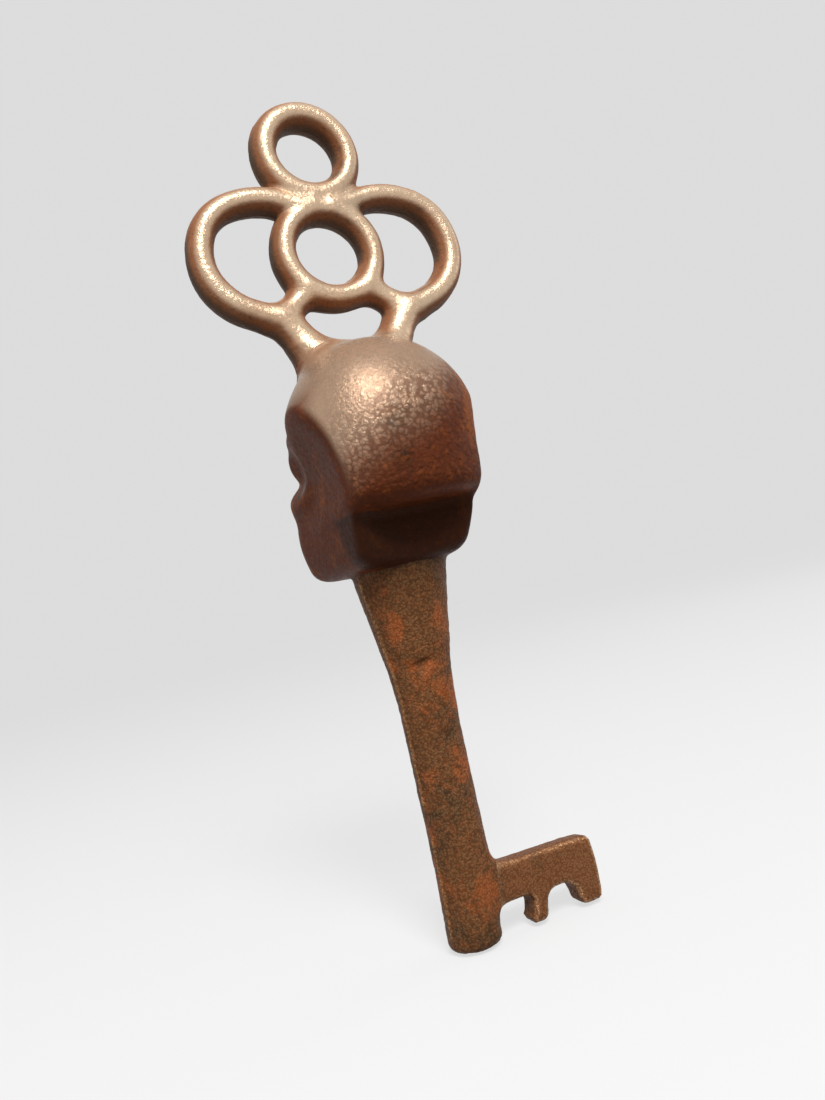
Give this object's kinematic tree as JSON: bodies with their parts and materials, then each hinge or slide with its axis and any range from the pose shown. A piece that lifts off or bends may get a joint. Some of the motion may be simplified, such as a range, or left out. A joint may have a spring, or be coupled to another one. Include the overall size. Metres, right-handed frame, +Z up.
{
  "type": "decorative skeleton key",
  "caption": "Cast iron skeleton key with a bow of rings and side loops, a skull with a jaw above a flared neck, a round shank and a flat bit with teeth.",
  "frame": {"origin": "the hang point: the inside top of the top ring's hole, in the middle of the bow's thickness, straight above the shank's axis", "axes": "+Z up the shank's axis towards the bow; the face looks along -Y; the bit points along -X; the bow lies in the XZ plane"},
  "size_m": [0.0471, 0.035, 0.1395],
  "materials": {
    "worn_iron": "cast and rusted, with crowns rubbed to a dull shine",
    "rusty_iron": "rough cast skin with brown and orange rust"
  },
  "bodies": {
    "root": {"top_ring": "worn_iron", "centre_ring": "worn_iron", "left_loop": "worn_iron", "right_loop": "worn_iron", "left_strut": "worn_iron", "right_strut": "worn_iron", "skull": "rusty_iron", "jaw": "rusty_iron", "shank": "rusty_iron", "bit": "rusty_iron"}
  },
  "joints": []
}
